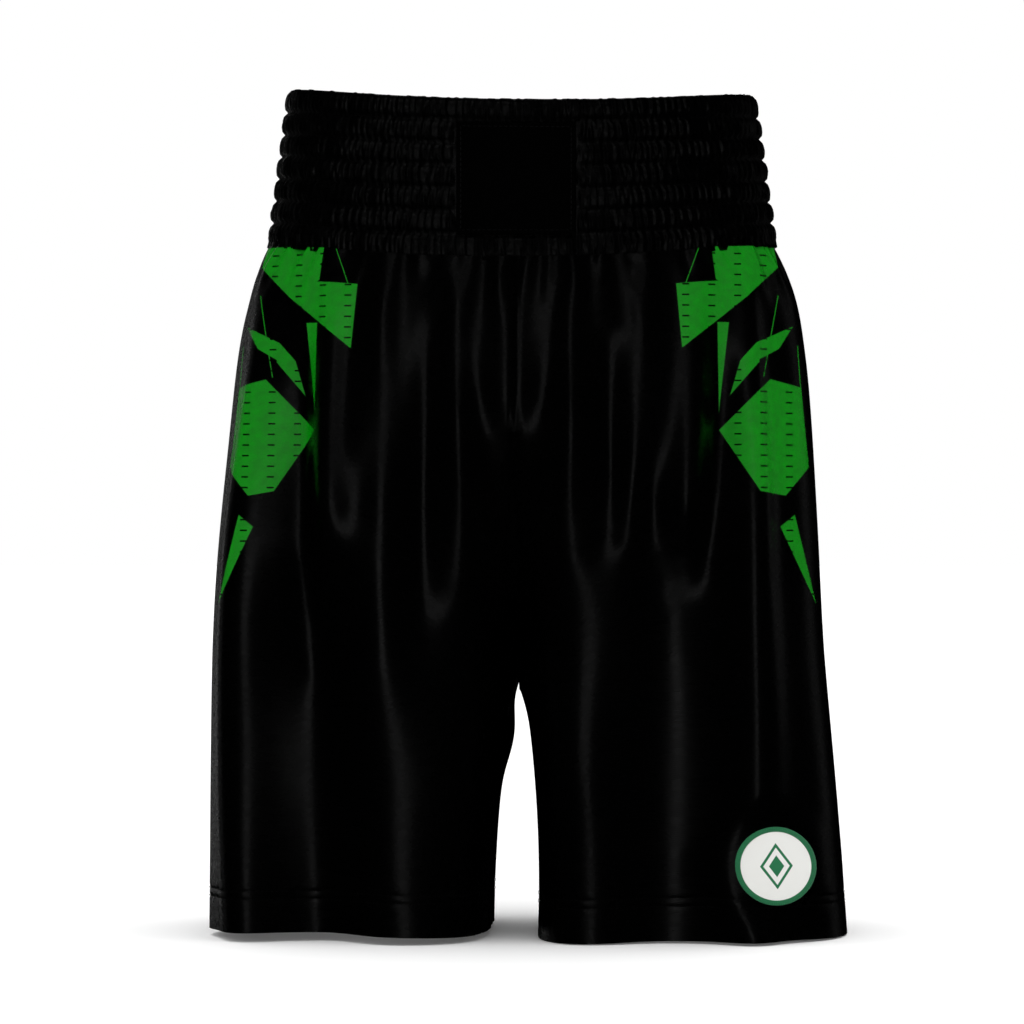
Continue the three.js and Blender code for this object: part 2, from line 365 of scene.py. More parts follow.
def twillHeight(wiring, place, period):
    lines = wiring.math("MULTIPLY", wiring.dot(place, (0.9, 1.0, 0)), 2 * math.pi / period)
    return wiring.math("SINE", lines)


def makeSatin(name, withPrint):
    material = newMaterial(name, satinFinish["black"], satinFinish["roughness"][0])
    wiring = Wiring(material)
    cloth = wiring.uv("cloth")
    mottle = wiring.noise(cloth, satinFinish["mottleScale"], 3.0)
    wiring.put(wiring.shader.inputs["Roughness"], wiring.range(mottle, 0.3, 0.7, *satinFinish["roughness"]))
    twill = twillHeight(wiring, cloth, satinFinish["twill"])
    slub = wiring.math("MULTIPLY", wiring.noise(cloth, satinFinish["slubScale"], 1.0), 0.6)
    fine = wiring.math("ADD", twill, slub)
    wiring.put(wiring.shader.inputs["Normal"], wiring.bump(fine, satinFinish["twillDepth"], 0.35))
    if withPrint:
        place = wiring.uv("print")
        thin = wiring.range(mottle, 0.35, 0.65, 0.0, printing["deepShare"])
        ink = wiring.blendColor(thin, printing["green"], printing["deepGreen"])
        ink = wiring.blendColor(dashShare(wiring, place), ink, satinFinish["black"])
        color = wiring.blendColor(flashShare(wiring, place), satinFinish["black"], ink)
        wiring.put(wiring.shader.inputs["Base Color"], color)
    return material


def outline(z, hem, hip, top, bow, ease):
    along = z / hipHeight
    straight = mix(hem, hip, along) + bow * 4 * along * (1 - along)
    drawnIn = np.maximum(0, 1 - (bandSeam - z) / ease[0]) ** ease[1]
    straightAtBand = mix(hem, hip, bandSeam / hipHeight)
    return straight - (straightAtBand - top) * drawnIn


def cutPoint(face, across, z):  # across runs from the inseam and rise at 0 to the side seam at 1
    edge = pattern["elasticThickness"] / 2
    top = pattern["bandSeamHalfWidth"] + edge
    hipHalf = pattern["hipHalfWidth"]
    halfWidth = outline(z, hemHalfWidth, hipHalf, top, pattern["sideBow"], pattern["easeWidth"])
    hem, hip, waist = pattern["hemDepth"][face], pattern["hipDepth"][face], pattern["bandDepth"][face] + edge
    depth = outline(z, hem, hip, waist, 0, pattern["easeDepth"])
    up = np.clip((z - pattern["crotchHeight"]) / pattern["riseBlend"], 0, 1)
    seamShare = np.sqrt(1 - (1 - up) ** 2)
    inner = pattern["legGap"] / 2 * (1 - np.minimum(1, z / pattern["crotchHeight"]) ** 2)
    inPower = mix(pattern["inseamPower"], pattern["sectionPower"], smooth(z, 0.12, 0.32))
    centreShare = (1 - seamShare ** inPower) ** (1 / inPower)
    radius = np.where(z < pattern["crotchHeight"], (halfWidth - inner) / 2, halfWidth / (1 + centreShare))
    turn = mix(np.arccos(centreShare ** (inPower / 2)), math.pi, across)
    outPower = mix(pattern["outseamPower"], pattern["sectionPower"], smooth(z, 0.16, 0.40))
    power = 2 / np.where(turn < math.pi / 2, inPower, outPower)
    x = halfWidth - radius * (1 + signedPower(np.cos(turn), power))
    y = depth * np.maximum(0, np.sin(turn)) ** power
    return np.maximum(0, x), np.maximum(0, y)


# How much fuller each leg is by its inseam, how far heights are averaged away from the rise, and how the
# rise pulls the front in below the belly.
legSkew = {("front", 1): 0.14, ("front", -1): 0.22, ("back", 1): 0.14, ("back", -1): 0.14}
softening = {"spread": 0.017, "fromSeam": 0.16, "steps": 9}
belly = {"pull": 0.014, "halfWidth": 0.030, "height": 0.355, "run": 0.085, "fade": (0.09, 0.19), "edge": 0.02}


def clothPoint(face, side, across, z):  # the cut shape, softened up and down away from the rise
    spread = softening["spread"] * smooth(across, 0.0, softening["fromSeam"])
    spread = spread * (1 - smooth(z, hipHeight - 0.04, bandSeam - 0.01))
    steps = np.linspace(-2, 2, softening["steps"])
    weights = bump(steps, 1.0)
    x = y = 0
    for step, weight in zip(steps, weights / weights.sum()):
        stepX, stepY = cutPoint(face, across, z + step * spread)
        x = x + stepX * weight
        y = y + stepY * weight
    outwards = np.clip((x - hemHalfWidth / 2) / (hemHalfWidth / 2), -1, 1)
    y = y * (1 - legSkew[face, side] * outwards * (1 - smooth(z, 0.10, 0.33)))
    if face == "front":
        pull = belly["pull"] * bump(x, belly["halfWidth"]) * smooth(belly["height"] - z, 0, belly["run"])
        y = y - pull * smooth(z, *belly["fade"]) * (y > belly["edge"])
    return x, y


def makeFold(across, start, end, depth, width, endDepth=None):
    depths = {"depth": depth, "endDepth": endDepth or depth}
    return {"across": across, "from": start, "to": end, "width": width, **depths}


# Each fold's crest: where it lies across the body at the waist, the middle and its end, the heights where it
# comes in and dies away, how deep it is, how wide at each end, and its depth lower down where that differs.
# A depth below 0 is a valley.
frontFolds = [
    makeFold((-0.157, -0.175, -0.177), 0.461, 0.0, 0.0200, (0.0070, 0.0127)),
    makeFold((-0.146, -0.146, -0.136), 0.430, 0.150, -0.0125, (0.0055, 0.011)),
    makeFold((-0.138, -0.138, -0.136), 0.270, 0.0, -0.0168, (0.0120, 0.0188)),
    makeFold((-0.116, -0.118, -0.114), 0.461, 0.215, 0.0125, (0.0062, 0.010)),
    makeFold((-0.099, -0.099, -0.106), 0.430, 0.215, -0.0060, (0.0050, 0.009)),
    makeFold((-0.085, -0.085, -0.074), 0.461, 0.0, 0.0135, (0.0060, 0.027), 0.0080),
    makeFold((-0.061, -0.058, -0.050), 0.430, 0.145, -0.0060, (0.0050, 0.010)),
    makeFold((-0.040, -0.036, -0.040), 0.461, 0.140, 0.0095, (0.0058, 0.011)),
    makeFold((-0.024, -0.029, -0.014), 0.440, 0.325, -0.0060, (0.0050, 0.009)),
    makeFold((-0.005, -0.005, -0.005), 0.461, 0.320, 0.0060, (0.0052, 0.010)),
    makeFold((0.013, 0.022, 0.009), 0.440, 0.325, -0.0060, (0.0050, 0.009)),
    makeFold((0.034, 0.040, 0.047), 0.461, 0.0, 0.0135, (0.0060, 0.021), 0.0110),
    makeFold((0.055, 0.052, 0.050), 0.461, 0.385, 0.0060, (0.0045, 0.007)),
    makeFold((0.066, 0.063, 0.064), 0.430, 0.235, -0.0070, (0.0050, 0.0085)),
    makeFold((0.081, 0.080, 0.071), 0.461, 0.235, 0.0100, (0.0056, 0.0095)),
    makeFold((0.094, 0.091, 0.097), 0.430, 0.205, -0.0060, (0.0048, 0.009)),
    makeFold((0.112, 0.112, 0.112), 0.461, 0.205, 0.0100, (0.0060, 0.010)),
    makeFold((0.132, 0.1365, 0.124), 0.440, 0.205, -0.0080, (0.0052, 0.010)),
    makeFold((0.108, 0.108, 0.108), 0.300, 0.0, -0.0125, (0.0100, 0.027)),
    makeFold((0.143, 0.155, 0.153), 0.461, 0.0, 0.0165, (0.0062, 0.0135)),
    makeFold((0.170, 0.182, 0.190), 0.461, 0.180, 0.0045, (0.0060, 0.011)),
]
backFolds = [
    makeFold((-0.150, -0.168, -0.176), 0.461, 0.0, 0.0100, (0.0080, 0.016)),
    makeFold((-0.112, -0.115, -0.118), 0.461, 0.230, 0.0050, (0.0070, 0.011)),
    makeFold((-0.130, -0.132, -0.136), 0.330, 0.0, -0.0070, (0.0070, 0.015)),
    makeFold((-0.080, -0.092, -0.096), 0.461, 0.0, 0.0105, (0.0070, 0.018)),
    makeFold((-0.048, -0.046, -0.050), 0.461, 0.120, 0.0065, (0.0065, 0.012)),
    makeFold((-0.016, -0.018, -0.020), 0.461, 0.300, 0.0042, (0.0060, 0.011)),
    makeFold((0.020, 0.016, 0.014), 0.461, 0.320, 0.0042, (0.0060, 0.011)),
    makeFold((0.052, 0.054, 0.060), 0.461, 0.0, 0.0110, (0.0070, 0.017)),
    makeFold((0.086, 0.090, 0.094), 0.461, 0.250, 0.0050, (0.0070, 0.011)),
    makeFold((0.090, 0.092, 0.094), 0.270, 0.0, -0.0070, (0.0070, 0.015)),
    makeFold((0.116, 0.122, 0.128), 0.461, 0.0, 0.0100, (0.0070, 0.016)),
    makeFold((0.152, 0.166, 0.172), 0.461, 0.0, 0.0085, (0.0080, 0.015)),
]
foldHeights = np.linspace(0, bandSeam, 32)


def foldSize(fold, z):
    t = np.clip((bandSeam - z) / (bandSeam - fold["to"]), 0, 1)
    rising = 0.30 + 0.70 * smooth(bandSeam - z, 0, 0.20)
    if fold["from"] < 0.45:
        rising = rising * (1 - smooth(z, fold["from"] - 0.07, fold["from"]))
    fading = smooth(z, fold["to"], fold["to"] + 0.32 * (bandSeam - fold["to"])) if fold["to"] > 0 else 1
    depth = mix(fold["depth"], fold["endDepth"], smooth(t, 0.35, 0.9))
    return depth * rising * fading, mix(fold["width"][0], fold["width"][1], smooth(t, 0, 0.85))


def foldAim(fold, z):
    start, bend, finish = fold["across"]
    t = np.clip((bandSeam - z) / (bandSeam - fold["to"]), 0, 1)
    return start * (1 - t) ** 2 + (4 * bend - start - finish) * t * (1 - t) + finish * t ** 2


def foldSlope(fold, x, z, centre):
    size, width = foldSize(fold, z)
    return -size * (x - centre) / width ** 2 * bump(x - centre, width)


# The turn, in degrees, of cloth that shows a highlight, at the middle and for each metre aside, and how far
# a fold is moved towards its place in each round.
settling = {"turn": 0.7, "turnPerMetre": 18.75, "rounds": 14, "share": 0.4, "least": 0.0008, "furthest": 0.9,
            "columns": 260}


def settleFolds(face, folds):  # moves each fold's middle until its crest lies where it is wanted
    columns = settling["columns"]
    slopes = {1: [], -1: []}
    across = np.linspace(0.0, 1.0, columns)
    for z in foldHeights:
        for side in (1, -1):
            x, y = clothPoint(face, side, across, np.full(columns, z))
            slopes[side].append((x, np.gradient(y, x + np.arange(columns) * 1e-8)))
    for fold in folds:
        fold["centre"] = foldAim(fold, foldHeights)
    for _ in range(settling["rounds"]):
        for fold in folds:
            aim = foldAim(fold, foldHeights)
            side = 1 if aim[0] > 0 else -1
            lean = [side * np.interp(abs(a), *slopes[side][i]) for i, a in enumerate(aim)]
            turned = settling["turn"] - settling["turnPerMetre"] * aim
            towards = np.tan(np.radians(turned)) if face == "front" else 0
            rest = [other for other in folds if other is not fold]
            others = sum(foldSlope(other, aim, foldHeights, other["centre"]) for other in rest)
            size, width = foldSize(fold, foldHeights)
            strong = np.sign(size) * np.maximum(np.abs(size), settling["least"])
            slope = np.array(lean) + towards + others
            furthest = settling["furthest"] * width
            shift = np.clip(slope * width ** 2 / strong, -furthest, furthest)
            fold["centre"] = mix(fold["centre"], aim - shift, settling["share"])


def foldHeight(folds, x, z):
    total = np.zeros_like(x)
    for fold in folds:
        size, width = foldSize(fold, z)
        total += size * bump(x - np.interp(z, foldHeights, fold["centre"]), width)
    return total


gathers = {"spacing": 0.0098, "height": 0.0019, "width": 0.0022, "reach": (0.012, 0.050), "seed": 5}


def gatherHeight(around, length, below):
    draws = np.random.default_rng(gathers["seed"])
    total = np.zeros_like(around)
    count = int(length / gathers["spacing"])
    for i in range(count):
        centre = (i + draws.uniform(0.15, 0.85)) * length / count
        reach = draws.uniform(*gathers["reach"])
        height = gathers["height"] * draws.uniform(0.5, 1.3)
        lean = draws.uniform(-0.12, 0.12)
        away = np.mod(around - centre - lean * below + length / 2, length) - length / 2
        width = gathers["width"] * (1 + 0.9 * np.clip(below / reach, 0, 1.5))
        near = (np.abs(away) < 4 * width) & (below < reach * 1.6)
        fade = 1 - smooth(below[near], reach * 0.3, reach * 1.6)
        total[near] += height * fade * bump(away[near], width[near])
    return total


# How each leg hangs: the hem's outer and inner edges moved outwards, how far its hem is lifted, the back of
# the leg swelling into the gap, the legs closing under the crotch, and the side seam tucked in.
legHang = {
    1: {"outer": 0.0040, "inner": -0.0065, "lift": (0.0003, 0.0016), "swell": 0.0050, "swellHeight": 0.145,
        "closing": 0.0040, "seamTuck": 0.0},
    -1: {"outer": -0.0045, "inner": 0.0015, "lift": (0.0038, 0.0022), "swell": 0.0075, "swellHeight": 0.128,
         "closing": 0.0040, "seamTuck": 0.007},
}
panelMesh = {"columns": 196, "rows": 226, "edgeCrowding": 0.45, "hemTurn": 0.029, "hemGap": 0.0012,
             "thickness": 0.0006, "seamPinch": 0.0014, "seamWidth": 0.0020, "stitchHeights": (0.0285, 0.0230)}


def measureArc(face, z):
    across = np.linspace(0, 1, 400)
    x, y = clothPoint(face, 1, across, np.full(400, z))
    return across, np.concatenate([[0], np.cumsum(np.hypot(np.diff(x), np.diff(y)))])


settleFolds("front", frontFolds)
settleFolds("back", backFolds)
waistArcs = {face: measureArc(face, bandSeam - 0.001) for face in ("front", "back")}
frontArc, backArc = (waistArcs[face][1][-1] for face in ("front", "back"))
waistLength = 2 * (frontArc + backArc)


def aroundWaist(face, side, across):  # distance along the waist from the front's middle
    here = np.interp(across, *waistArcs[face])
    return side * (here if face == "front" else frontArc + backArc - here)


# The cloth backed by the badge folds less.
stiffSpot = {"across": 0.168, "height": 0.050, "radius": 0.026, "fade": 1.9, "share": 0.82}
# How folds sit on the cloth: sunk a little, more lower down, and weaker where the cloth turns sideways. The
# legs close under the crotch, and the whole body leans aside at the thighs.
draping = {"sink": (0.0008, 0.0042, 0.35), "sideShare": 0.3, "sidePower": 1.2, "seamBlend": 0.03,
           "closeHeight": 0.174, "closeWidth": 0.014, "narrowest": 0.0006,
           "sway": -0.0024, "swayHeight": 0.224, "swayWidth": 0.075}


def foldedPoint(face, side, across, z, lift=0.0):
    x, y = clothPoint(face, side, across, z)
    lowX, lowY = clothPoint(face, side, np.maximum(0, across - 0.004), z)
    highX, highY = clothPoint(face, side, np.minimum(1, across + 0.004), z)
    alongX, alongY = highX - lowX, highY - lowY
    size = np.hypot(alongX, alongY) + 1e-9
    outX, outY = -alongY / size, alongX / size
    front = foldHeight(frontFolds, side * x, z)
    back = foldHeight(backFolds, side * x, z)
    other = np.exp(-(y / draping["seamBlend"]) ** 2) * smooth(across, 0.4, 0.6)
    folds = mix(front, (front + back) / 2, other) if face == "front" else mix(back, (front + back) / 2, other)
    below = bandSeam - z
    least, more, reach = draping["sink"]
    folds -= least + more * smooth(below, 0, reach)
    folds *= mix(draping["sideShare"], 1, np.abs(outY) ** draping["sidePower"])
    body = smooth(z, pattern["crotchHeight"] - 0.03, pattern["crotchHeight"] + 0.06)
    folds *= mix(smooth(across, 0.0, 0.12), 1, body)
    if face == "front" and side > 0:
        fromSpot = np.hypot(x - stiffSpot["across"], z - stiffSpot["height"])
        backed = 1 - smooth(fromSpot, stiffSpot["radius"], stiffSpot["radius"] * stiffSpot["fade"])
        folds *= 1 - stiffSpot["share"] * backed
    folds += gatherHeight(aroundWaist(face, side, across), waistLength, below)
    fromSideSeam = (1 - across) * (frontArc if face == "front" else backArc)
    fromRise = mix(across * 0.30, x, smooth(z, 0.19, 0.20))
    pinch = bump(fromSideSeam, panelMesh["seamWidth"]) + bump(fromRise, panelMesh["seamWidth"])
    folds -= panelMesh["seamPinch"] * pinch
    hang = legHang[side]
    folds -= hang["seamTuck"] * bump(fromSideSeam, 0.010) * smooth(0.30 - z, 0, 0.15)
    onSeam = across <= 0
    onRise = z > pattern["crotchHeight"]
    movedX = np.where(onSeam, np.where(onRise, 0, x), x + outX * (folds + lift))
    movedY = np.where(onSeam, y, y + outY * (folds + lift))
    movedX = np.where(onRise, np.maximum(0, movedX), movedX)
    down = np.clip(1 - z / pattern["crotchHeight"], 0, 1)
    movedX = movedX + down ** 1.3 * mix(hang["inner"], hang["outer"], across)
    if face == "back":
        swell = bump(z - hang["swellHeight"], 0.020) * smooth(across, 0.0, 0.10)
        swell = swell * (1 - smooth(across, 0.22, 0.45))
        movedX = movedX - hang["swell"] * swell
    closing = hang["closing"] * bump(z - draping["closeHeight"], draping["closeWidth"])
    closing = closing * (1 - smooth(across, 0.0, 0.25))
    movedX = np.maximum(np.where(onRise, 0, draping["narrowest"]), movedX - closing)
    bodySway = draping["sway"] * bump(z - draping["swayHeight"], draping["swayWidth"])
    forward = -1 if face == "front" else 1
    raised = z + (hang["lift"][0] + hang["lift"][1] * bump(across - 0.62, 0.18)) * down ** 1.5
    return side * movedX + bodySway, seamPlane + forward * np.maximum(0, movedY), raised


def panelDown():  # rows crowd at the waist, at the stitch rows and at the hem's fold
    down = np.linspace(0, bandSeam + panelMesh["hemTurn"], 4000)
    height = bandSeam - down
    crowd = 1 + 2.2 * bump(down, 0.030) + 6 * bump(height, 0.0015)
    for stitchHeight in panelMesh["stitchHeights"]:
        crowd += 7 * bump(height - stitchHeight, 0.0011)
    run = np.concatenate([[0], np.cumsum(crowd[1:])])
    return np.interp(np.linspace(0, 1, panelMesh["rows"] + 1), run / run[-1], down)


def makePanel(face, side, material):
    wearerSide = "Left" if side > 0 else "Right"
    piece, u, v = addGrid(f"{face}Panel{wearerSide}", panelMesh["columns"], panelMesh["rows"])
    across = u - panelMesh["edgeCrowding"] * np.sin(2 * math.pi * u) / (2 * math.pi)
    down = np.interp(1 - v, np.linspace(0, 1, panelMesh["rows"] + 1), panelDown())
    dip = pattern["frontDip"] * np.cos(across * math.pi / 2) ** 2 if face == "front" else 0
    top = bandSeam + 0.0015 - dip
    turned = np.maximum(0, down - bandSeam)
    z = np.where(turned > 0, turned, np.maximum(0, top * (1 - down / bandSeam)))
    x, y, raised = foldedPoint(face, side, across, z)
    legCentre = side * (hemHalfWidth + pattern["legGap"] / 2) / 2
    inwards = np.stack([legCentre - x, seamPlane - y], 1)
    inwards /= np.linalg.norm(inwards, axis=1)[:, None]
    gap = panelMesh["hemGap"] * np.sqrt(np.clip(turned / 0.0015, 0, 1))
    dent = sum(bump(z - height, 0.0009) for height in panelMesh["stitchHeights"]) * 0.00035
    inX, inY = inwards[:, 0] * (gap + dent), inwards[:, 1] * (gap + dent)
    placePoints(piece, x + inX, y + inY, raised)
    setUv(piece, "cloth", aroundWaist(face, side, across) * 1.15, down)
    hidden = face == "back"
    setUv(piece, "print", side * x - hidden, z - hidden)
    turnOutwards(piece, legCentre)
    applyModifier(piece, "SOLIDIFY", thickness=panelMesh["thickness"], offset=-1)
    node = f"{face}_panel_{wearerSide.lower()}"
    finishPiece(piece, material, [node])
    return piece


printedSatin = makeSatin("printedSatin", True)
panels = {}
for face in ("front", "back"):
    for side in (1, -1):
        panels[face, side] = makePanel(face, side, printedSatin)
print("leg panels made")

band = {
    "columns": 1500, "stepsPerRow": 6, "puff": 0.0026, "stitchLift": 0.0006, "gather": 0.00120,
    "gatherLength": 0.0050, "puffPower": 0.45, "tilt": 0.0023, "topDip": 0.011, "panelRows": (1, 5),
    "panelHalfWidth": 0.039, "panelRamp": 0.007, "hang": 0.0026, "lap": 0.016, "seed": 11,
}
# Lengths over which the small gathers change their two phases, lean, depth and meeting place.
gatherRuns = {"first": 0.013, "second": 0.011, "lean": 0.022, "depth": 0.007, "meeting": 0.010}


def bandTurns(columns):  # equal steps along the band, starting at the back's middle
    fine = np.linspace(0, 2 * math.pi, 8001) + math.pi / 2
    x, y, _ = bandPoint(fine, np.full(8001, 0.5), 0)
    run = np.concatenate([[0], np.cumsum(np.hypot(np.diff(x), np.diff(y)))])
    return np.interp(np.linspace(0, run[-1], columns + 1), run, fine), run[-1]


def bandPoint(turn, down, lift):
    depth = np.where(np.sin(turn) < 0, pattern["bandDepth"]["front"], pattern["bandDepth"]["back"])
    wide = mix(pattern["bandTopHalfWidth"], pattern["bandSeamHalfWidth"], down) + lift
    x = wide * signedPower(np.cos(turn), roundness)
    y = seamPlane + (depth + lift) * signedPower(np.sin(turn), roundness)
    dip = mix(band["topDip"], pattern["frontDip"], np.clip(down, 0, 1))
    z = bandTop - down * bandHeight - dip * np.maximum(0, -np.sin(turn)) ** 2
    return x, y, z - band["tilt"] * x / pattern["bandTopHalfWidth"] * (1 - np.clip(down, 0, 1))


def gatherWave(along, share, row, length, wave, seed):
    drift = {}
    for index, (name, run) in enumerate(gatherRuns.items()):
        drift[name] = wobble(along, int(length / run), seed + 50 * index + row)
    count = int(length / wave)
    first = 2 * math.pi * count * along + 3.0 * drift["first"]
    second = 2 * math.pi * (count - 9) * along + 3.0 * drift["second"]
    lean = 2.4 * drift["lean"]
    strength = 0.62 + 0.38 * drift["depth"]
    where = 0.5 + 0.28 * drift["meeting"]
    blended = smooth(share, where - 0.22, where + 0.22)
    wavy = mix(np.cos(first + lean * share), np.cos(second - lean * share), blended)
    return strength * (0.72 * wavy + 0.34 * np.cos(2 * first + 1.3 + lean))


def bandLift(turn, along, row, share, length):
    x = bandPoint(turn, (row + share) / pattern["rowCount"], 0)[0]
    firstRow, lastRow = band["panelRows"]
    underPanel = (np.sin(turn) < 0) & (row >= firstRow) & (row <= lastRow)
    half = band["panelHalfWidth"]
    flat = np.where(underPanel, 1 - smooth(np.abs(x), half - 0.002, half - 0.002 + band["panelRamp"]), 0)
    puffed = np.abs(np.sin(math.pi * share)) ** band["puffPower"]
    lastPuff = (row == pattern["rowCount"] - 1) & (share > 0.5)
    hangs = np.where(lastPuff, band["hang"] * smooth(share, 0.5, 1.0), 0)
    ease = 1 + 0.10 * wobble(along, 40, 900 + int(np.max(row)))
    lift = band["stitchLift"] + np.maximum(band["puff"] * puffed * ease * (1 - flat), hangs) + 0.0006 * flat
    strength = mix(0.34, 1.0, puffed) * (1 - 0.93 * flat)
    wave = np.zeros_like(lift)
    for index in range(pattern["rowCount"]):
        here = row == index
        wave[here] = gatherWave(along[here], share[here], index, length, band["gatherLength"], band["seed"])
    return lift + band["gather"] * strength * wave


def ringPath(rows, outerSteps, innerSteps):  # (row, share, inside) for each ring round the closed section
    path = [(row, step / outerSteps, 0) for row in range(rows) for step in range(outerSteps)]
    path.append((rows - 1, 1.0, 0))
    back = [(row, step / innerSteps, 1) for row in range(rows) for step in range(innerSteps)]
    path.append((rows - 1, 1.0, 1))
    path.extend(reversed(back))
    return np.array(path)


def closeRing(piece):
    editAll(piece, bpy.ops.mesh.remove_doubles, threshold=0.000002)
    editAll(piece, bpy.ops.mesh.normals_make_consistent, inside=False)


def addRing(name, columns, count):  # a closed section carried once round the waist
    piece, u, v = addGrid(name, columns, count)
    turns, length = bandTurns(columns)
    column = np.rint(u * columns).astype(int) % columns
    ring = np.rint(v * count).astype(int) % count
    return piece, turns[column], column / columns, ring, length


def makeBandOuter(material):
    path = ringPath(pattern["rowCount"], band["stepsPerRow"], 2)
    piece, turn, along, ring, length = addRing("waistbandOuter", band["columns"], len(path))
    row, share, inside = path[ring].T
    outer = bandLift(turn, along, row, share, length)
    puffed = np.abs(np.sin(math.pi * share)) ** band["puffPower"]
    x = bandPoint(turn, (row + share) / pattern["rowCount"], 0)[0]
    firstRow, lastRow = band["panelRows"]
    underPanel = (np.sin(turn) < 0) & (row >= firstRow) & (row <= lastRow)
    flat = underPanel & (np.abs(x) < band["panelHalfWidth"] + 0.004)
    lining = np.where(flat, 0.0002, 0.0001 + 0.0012 * puffed)
    lift = np.where(inside > 0, lining, outer)
    down = (row + share) / pattern["rowCount"]
    down = down + np.where(down > 0.999, band["lap"], 0)
    x, y, z = bandPoint(turn, down, lift)
    edge = row + share < 0.01
    ripple = wobble(along, int(length / 0.0028), 77) * 0.0004
    placePoints(piece, x, y, z + np.where(edge, ripple, 0))
    setUv(piece, "cloth", along * length * 1.6, z)
    closeRing(piece)
    finishPiece(piece, material, ["waistband_outer"])
    return piece


facingCut = {"columns": 700, "stepsPerRow": 4, "puff": 0.0026, "gather": 0.0005, "gatherLength": 0.0062,
             "seed": 400}


def makeBandFacing(material):
    path = ringPath(pattern["rowCount"], facingCut["stepsPerRow"], 1)
    piece, turn, along, ring, length = addRing("waistbandFacing", facingCut["columns"], len(path))
    row, share, outside = path[ring].T
    puffed = np.abs(np.sin(math.pi * share)) ** band["puffPower"]
    wave = np.zeros_like(turn)
    for index in range(pattern["rowCount"]):
        here = row == index
        waveLength, seed = facingCut["gatherLength"], facingCut["seed"]
        wave[here] = gatherWave(along[here], share[here], index, length, waveLength, seed)
    inner = 0.0006 + facingCut["puff"] * puffed + facingCut["gather"] * mix(0.4, 1, puffed) * wave
    lift = -np.where(outside > 0, 0.0002, inner)
    x, y, z = bandPoint(turn, (row + share) / pattern["rowCount"], lift)
    placePoints(piece, x, y, z)
    setUv(piece, "cloth", along * length * 1.3, z)
    closeRing(piece)
    finishPiece(piece, material, ["waistband_facing"])
    return piece


webbing = {"columns": 300, "ringPoints": 28, "rib": 0.0012, "ribDepth": 0.10, "fill": 0.9}


def makeElastic(index, material):
    count = webbing["ringPoints"]
    piece, turn, _, ring, _ = addRing(f"elasticBand{index + 1}", webbing["columns"], count)
    around = ring / count * 2 * math.pi
    tall = pattern["elasticWidth"] / 2 * signedPower(np.sin(around), 0.25)
    thick = pattern["elasticThickness"] / 2 * signedPower(np.cos(around), 0.35)
    ribbed = 1 + webbing["ribDepth"] * np.cos(tall / webbing["rib"] * 2 * math.pi)
    thick = thick * ribbed * webbing["fill"]
    down = (index + 0.5) / pattern["rowCount"] - tall / bandHeight
    x, y, z = bandPoint(turn, down, thick)
    placePoints(piece, x, y, z)
    closeRing(piece)
    finishPiece(piece, material, [f"elastic_band_{index + 1}"])


def makeWoven(name, color, roughness, thread, sheen=0.0, specular=0.3):
    material = newMaterial(name, color, roughness, specular, sheen)
    wiring = Wiring(material)
    place = wiring.objectPlace()
    across = wiring.math("SINE", wiring.math("MULTIPLY", wiring.dot(place, (1, 1, 0)), 2 * math.pi / thread))
    upwards = wiring.math("SINE", wiring.math("MULTIPLY", wiring.dot(place, (0, 0, 1)), 2 * math.pi / thread))
    weave = wiring.math("MULTIPLY", across, upwards)
    wiring.put(wiring.shader.inputs["Normal"], wiring.bump(weave, thread * 0.15, 0.5))
    speck = wiring.noise(place, 700.0, 2.0)
    darker = tuple(channel * 0.7 for channel in color)
    wiring.put(wiring.shader.inputs["Base Color"], wiring.blendColor(speck, color, darker))
    return material


bandSatin = makeSatin("bandSatin", False)
facingCloth = makeWoven("facingCloth", (0.0040, 0.0040, 0.0044), 0.75, 0.0009)
elasticWeb = makeWoven("elasticWeb", (0.012, 0.012, 0.012), 0.8, 0.0011)
outer = makeBandOuter(bandSatin)
facing = makeBandFacing(facingCloth)
for index in range(pattern["rowCount"]):
    makeElastic(index, elasticWeb)
print("waistband made")

label = {"bend": 0.0009, "columns": 64, "rows": 58, "edge": 0.0022, "stitchInside": 0.0030,
         "thickness": 0.0011, "color": (0.0002, 0.0002, 0.00022)}
labelLow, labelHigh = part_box("front_label_panel")


def labelPoint(x, z, lift):  # the panel follows the band's front and its tilt
    middle = (labelLow.x + labelHigh.x) / 2
    y = labelLow.y + label["bend"] * ((x - middle) / labelHigh.x) ** 2 - lift
    up = (z - labelLow.z) / (labelHigh.z - labelLow.z)
    dip = pattern["frontDip"] - band["topDip"]
    raised = z + dip * 0.15 + dip * 0.7 * up
    return x, y, raised - band["tilt"] * x / pattern["bandTopHalfWidth"] * (0.15 + 0.7 * up)


def makeLabelPanel(material):
    piece, u, v = addGrid("frontLabelPanel", label["columns"], label["rows"])
    u = u - 0.5 * np.sin(2 * math.pi * u) / (2 * math.pi)
    v = v - 0.5 * np.sin(2 * math.pi * v) / (2 * math.pi)
    x = mix(labelLow.x, labelHigh.x, u)
    z = mix(labelLow.z, labelHigh.z, v)
    fromSide = np.minimum(x - labelLow.x, labelHigh.x - x)
    fromEdge = np.minimum(fromSide, np.minimum(z - labelLow.z, labelHigh.z - z))
    lift = -0.0007 * (1 - np.sqrt(np.clip(fromEdge / label["edge"], 0, 1)))
    lift -= 0.00028 * bump(fromEdge - label["stitchInside"], 0.0007)
    lift += 0.0002 * np.sin(x * 61 + 1) * np.sin(z * 83 + 2)
    placePoints(piece, *labelPoint(x, z, lift))
    turnOutwards(piece)
    applyModifier(piece, "SOLIDIFY", thickness=label["thickness"] * 0.6, offset=-1)
    finishPiece(piece, material, ["front_label_panel"])
    return piece


